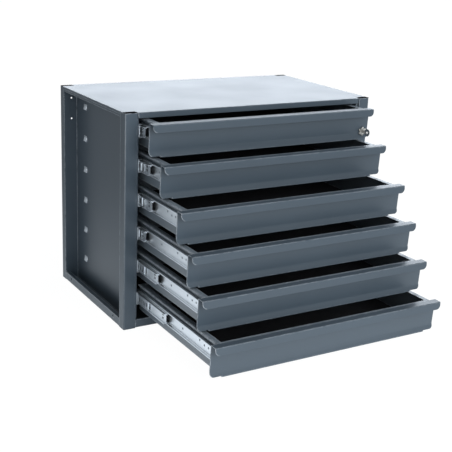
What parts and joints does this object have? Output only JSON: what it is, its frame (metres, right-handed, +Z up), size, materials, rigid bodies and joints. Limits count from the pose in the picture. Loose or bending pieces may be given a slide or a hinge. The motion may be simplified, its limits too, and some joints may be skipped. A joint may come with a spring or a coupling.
{
  "type": "drawer cabinet",
  "caption": "Low steel tool cabinet with wide shallow drawers on telescopic slides, folded finger lips, recessed sides and a key lock, shown with the drawers stepped open.",
  "frame": {"origin": "on the floor, on the cabinet's centre plane, midway between the lip of the lowest open drawer and the back of the cabinet", "axes": "+X to the right seen from the front, +Y from the front to the back, +Z up"},
  "size_m": [0.72, 0.8144, 0.55],
  "materials": {
    "paint": "semi-gloss powder coat",
    "tray": "semi-gloss powder coat",
    "zinc": "bright zinc",
    "cage": "plain steel",
    "mat": "fine ribbed",
    "plastic": "matt",
    "chrome": "polished",
    "key": "nickel"
  },
  "bodies": {
    "cabinet": {"side_frame_left": "paint", "side_frame_right": "paint", "top_panel": "paint", "back_panel": "paint", "side_top_rails": "paint", "side_bottom_rails": "paint", "front_bottom_rail": "paint", "rear_bottom_rail": "paint", "post_caps": "plastic", "cabinet_slide_members": "zinc"},
    "middle_1": {"middle_slides_1": "zinc", "ball_cages_1": "cage"},
    "drawer_1": {"drawer_1_front": "paint", "drawer_1_tray": "tray", "drawer_1_mat": "mat", "drawer_1_slides": "zinc", "lock_housing": "chrome"},
    "lock_core": {"lock_plug": "chrome", "lock_cam": "zinc", "cam_nut": "zinc", "key": "key"},
    "middle_2": {"middle_slides_2": "zinc", "ball_cages_2": "cage"},
    "drawer_2": {"drawer_2_front": "paint", "drawer_2_tray": "tray", "drawer_2_mat": "mat", "drawer_2_slides": "zinc"},
    "middle_3": {"middle_slides_3": "zinc", "ball_cages_3": "cage"},
    "drawer_3": {"drawer_3_front": "paint", "drawer_3_tray": "tray", "drawer_3_mat": "mat", "drawer_3_slides": "zinc"},
    "middle_4": {"middle_slides_4": "zinc", "ball_cages_4": "cage"},
    "drawer_4": {"drawer_4_front": "paint", "drawer_4_tray": "tray", "drawer_4_mat": "mat", "drawer_4_slides": "zinc"},
    "middle_5": {"middle_slides_5": "zinc", "ball_cages_5": "cage"},
    "drawer_5": {"drawer_5_front": "paint", "drawer_5_tray": "tray", "drawer_5_mat": "mat", "drawer_5_slides": "zinc"},
    "middle_6": {"middle_slides_6": "zinc", "ball_cages_6": "cage"},
    "drawer_6": {"drawer_6_front": "paint", "drawer_6_tray": "tray", "drawer_6_mat": "mat", "drawer_6_slides": "zinc"}
  },
  "joints": [
    {"name": "middle_1_slide", "type": "slide", "parent": "cabinet", "child": "middle_1", "axis": [0, -1, 0], "range_m": [-0.028, 0.137]},
    {"name": "drawer_1_slide", "type": "slide", "parent": "middle_1", "child": "drawer_1", "axis": [0, -1, 0], "range_m": [-0.0246, 0.2154]},
    {"name": "middle_2_slide", "type": "slide", "parent": "cabinet", "child": "middle_2", "axis": [0, -1, 0], "range_m": [-0.057, 0.108]},
    {"name": "drawer_2_slide", "type": "slide", "parent": "middle_2", "child": "drawer_2", "axis": [0, -1, 0], "range_m": [-0.0576, 0.1824]},
    {"name": "middle_3_slide", "type": "slide", "parent": "cabinet", "child": "middle_3", "axis": [0, -1, 0], "range_m": [-0.0705, 0.0945]},
    {"name": "drawer_3_slide", "type": "slide", "parent": "middle_3", "child": "drawer_3", "axis": [0, -1, 0], "range_m": [-0.1308, 0.1092]},
    {"name": "middle_4_slide", "type": "slide", "parent": "cabinet", "child": "middle_4", "axis": [0, -1, 0], "range_m": [-0.0385, 0.1265]},
    {"name": "drawer_4_slide", "type": "slide", "parent": "middle_4", "child": "drawer_4", "axis": [0, -1, 0], "range_m": [-0.2185, 0.0215]},
    {"name": "middle_5_slide", "type": "slide", "parent": "cabinet", "child": "middle_5", "axis": [0, -1, 0], "range_m": [-0.109, 0.056]},
    {"name": "drawer_5_slide", "type": "slide", "parent": "middle_5", "child": "drawer_5", "axis": [0, -1, 0], "range_m": [-0.2014, 0.0386]},
    {"name": "middle_6_slide", "type": "slide", "parent": "cabinet", "child": "middle_6", "axis": [0, -1, 0], "range_m": [-0.156, 0.009]},
    {"name": "drawer_6_slide", "type": "slide", "parent": "middle_6", "child": "drawer_6", "axis": [0, -1, 0], "range_m": [-0.2175, 0.0225]},
    {"name": "lock_turn", "type": "hinge", "parent": "drawer_1", "child": "lock_core", "pos_m": [0.3048, -0.06535, 0.4714], "axis": [0, -1, 0], "range_deg": [0, 90]}
  ]
}
